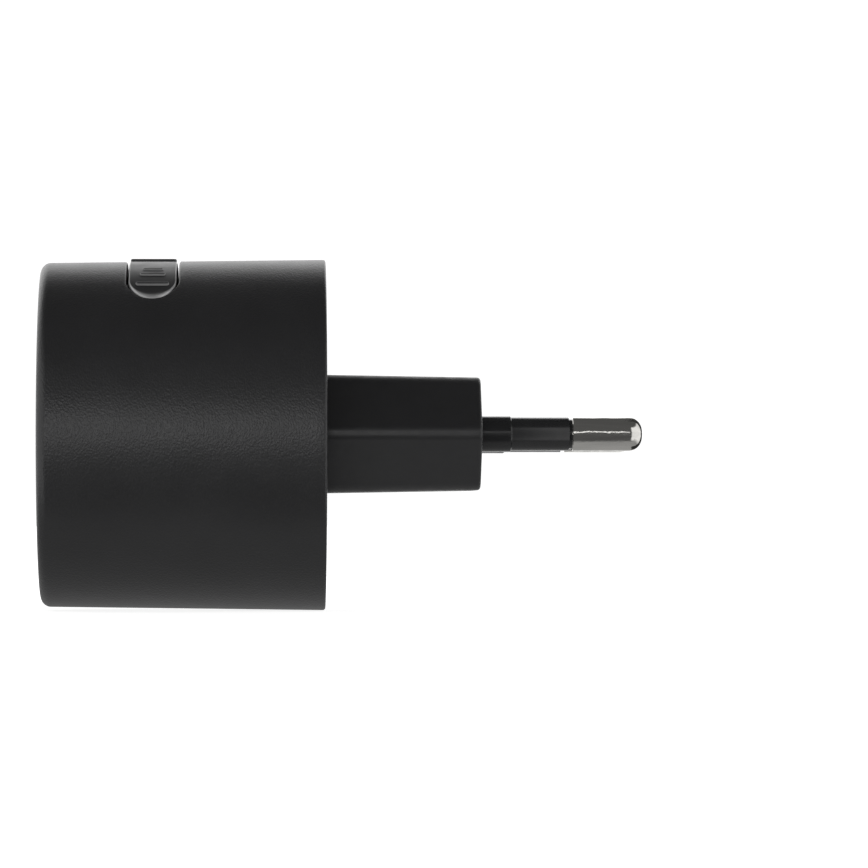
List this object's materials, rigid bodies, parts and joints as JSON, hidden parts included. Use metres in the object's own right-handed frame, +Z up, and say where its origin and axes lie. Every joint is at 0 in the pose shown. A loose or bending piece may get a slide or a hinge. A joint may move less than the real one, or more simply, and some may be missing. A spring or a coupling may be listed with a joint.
{
  "type": "plug-in door chime",
  "caption": "Round plug-in door chime receiver with a rocker button on top, a perforated speaker front and a two-pin mains plug on its back.",
  "frame": {"origin": "centre of the plug block's face, from which the two pins stand out", "axes": "+X along the plug pins towards the socket, +Z up towards the rocker button, +Y to the side, along the line between the pins"},
  "size_m": [0.0706, 0.0414, 0.0415],
  "materials": {
    "case_abs": "moulded black ABS with a fine spark-eroded texture, about 0.6 roughness",
    "button_abs": "moulded black ABS, a little smoother than the case",
    "plug_plastic": "smooth satin black polycarbonate blend",
    "sleeve_plastic": "smooth black insulation moulded on the pin",
    "nickel": "nickel-plated brass, softly polished",
    "screw_steel": "zinc-plated steel",
    "acoustic_cloth": "fine black woven cloth",
    "clear_acrylic": "clear acrylic",
    "silicone": "matt grey silicone",
    "board_laminate": "green solder mask over glass-fibre laminate",
    "header_strip": "black nylon strip with gilt pins",
    "retainer_nylon": "natural nylon",
    "ferrite": "sintered ferrite",
    "winding_tape": "yellow polyester tape",
    "film_capacitor": "yellow moulded box",
    "capacitor_sleeve": "shrunk PVC sleeve over an aluminium can",
    "varistor_coat": "dipped blue epoxy",
    "resistor_coat": "flameproof grey-green coating",
    "chip_epoxy": "black moulding compound",
    "chip_ceramic": "tan ceramic with tinned ends",
    "lamp_epoxy": "white lamp package",
    "tinned_steel": "tinned sheet steel",
    "copper_wire": "bare copper wire",
    "foam": "closed-cell foam",
    "surround_rubber": "thin black rubber",
    "basket_steel": "pressed steel basket",
    "magnet": "nickel-plated magnet",
    "paper_cone": "pressed paper",
    "clamp_plastic": "black nylon",
    "wire_brown": "brown PVC insulation",
    "wire_blue": "blue PVC insulation",
    "wire_red": "red PVC insulation",
    "wire_black": "black PVC insulation"
  },
  "bodies": {
    "case": {"housing": "case_abs", "front_grille": "case_abs", "grille_cloth": "acoustic_cloth", "light_guide": "clear_acrylic", "rear_cover": "plug_plastic", "cover_screws": "screw_steel", "pin_left": "nickel", "pin_right": "nickel", "pin_sleeve_left": "sleeve_plastic", "pin_sleeve_right": "sleeve_plastic", "pin_retainer": "retainer_nylon", "retainer_screw": "screw_steel", "rocker_axle": "screw_steel", "rubber_keypad": "silicone", "button_board": "board_laminate", "board_header": "header_strip", "main_board": "board_laminate", "board_screws": "screw_steel", "transformer_core": "ferrite", "transformer_coil": "winding_tape", "mains_capacitor": "film_capacitor", "bulk_capacitor": "capacitor_sleeve", "output_capacitor": "capacitor_sleeve", "varistor": "varistor_coat", "fuse_resistor": "resistor_coat", "bridge_rectifier": "chip_epoxy", "sound_chip": "chip_epoxy", "small_resistors": "chip_ceramic", "status_led": "lamp_epoxy", "radio_board": "board_laminate", "radio_shield": "tinned_steel", "antenna_coil": "copper_wire", "speaker_gasket": "foam", "speaker_surround": "surround_rubber", "speaker_frame": "basket_steel", "speaker_yoke": "tinned_steel", "speaker_magnet": "magnet", "speaker_pole_plate": "tinned_steel", "speaker_clamp": "clamp_plastic", "clamp_screws": "screw_steel", "live_wire": "wire_brown", "neutral_wire": "wire_blue", "speaker_lead_plus": "wire_red", "speaker_lead_minus": "wire_black"},
    "rocker": {"rocker_button": "button_abs"},
    "cone": {"speaker_cone": "paper_cone", "voice_coil": "copper_wire"}
  },
  "joints": [
    {"name": "rocker_tilt", "type": "hinge", "parent": "case", "child": "rocker", "pos_m": [-0.0383, 0, 0.0172], "axis": [1, 0, 0], "range_deg": [-2.2, 2.2], "stiffness_Nm_per_rad": 0.5, "deforming": ["rubber_keypad"]},
    {"name": "cone_travel", "type": "slide", "parent": "case", "child": "cone", "axis": [1, 0, 0], "range_m": [-0.0003, 0.0003], "stiffness_N_per_m": 1500, "deforming": ["speaker_surround"]}
  ]
}
